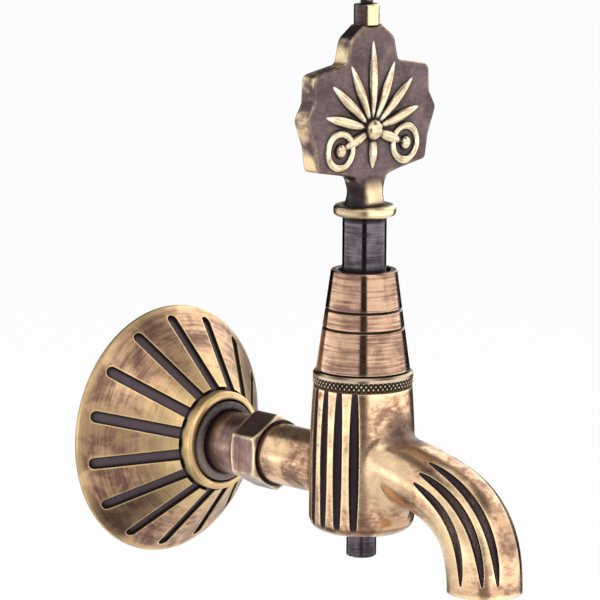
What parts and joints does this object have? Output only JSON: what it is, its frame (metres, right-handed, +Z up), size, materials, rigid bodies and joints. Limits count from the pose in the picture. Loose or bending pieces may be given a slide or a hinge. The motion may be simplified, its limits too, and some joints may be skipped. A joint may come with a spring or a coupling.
{
  "type": "wall-mounted bath tap",
  "caption": "Wall-mounted bath tap in aged brass: slotted wall rose, hexagon inlet, fluted barrel with a bent spout, coned bonnet and a flat cast handle on a quarter-turn plug.",
  "frame": {"origin": "middle of the inlet, in the plane of the wall", "axes": "+Y into the wall along the inlet, -Y out into the room, +Z up along the plug, +X to the right as seen from the wall's back"},
  "size_m": [0.0826, 0.1706, 0.1948],
  "materials": {
    "aged_brass": "brushed and patinated",
    "dark_brass": "dark patina, edges worn bright",
    "bare_brass": "turned or worn bright",
    "steel": "plain",
    "rubber": "matt",
    "fibre": "vulcanised fibre",
    "ptfe": "smooth"
  },
  "bodies": {
    "tap": {"wall_rose": "aged_brass", "rose_gasket": "rubber", "rose_grommet": "rubber", "inlet_nipple": "aged_brass", "nipple_washer": "fibre", "tap_body": "aged_brass", "stop_pin": "steel", "thrust_washer": "ptfe", "bonnet_nut": "bare_brass", "gland_packing": "ptfe", "gland_follower": "bare_brass", "gland_screw": "bare_brass", "ring_washer": "fibre", "knurled_ring": "dark_brass", "bonnet_shroud": "aged_brass"},
    "plug": {"taper_plug": "dark_brass", "tail_washer": "bare_brass", "tail_spring": "steel", "tail_nut": "dark_brass", "handle": "dark_brass", "handle_grub_screw": "steel", "finial": "aged_brass", "front_ornament": "bare_brass", "back_ornament": "bare_brass"}
  },
  "joints": [
    {"name": "handle_turn", "type": "hinge", "parent": "tap", "child": "plug", "pos_m": [0, -0.0905, 0], "axis": [0, 0, 1], "range_deg": [0, 90]}
  ]
}
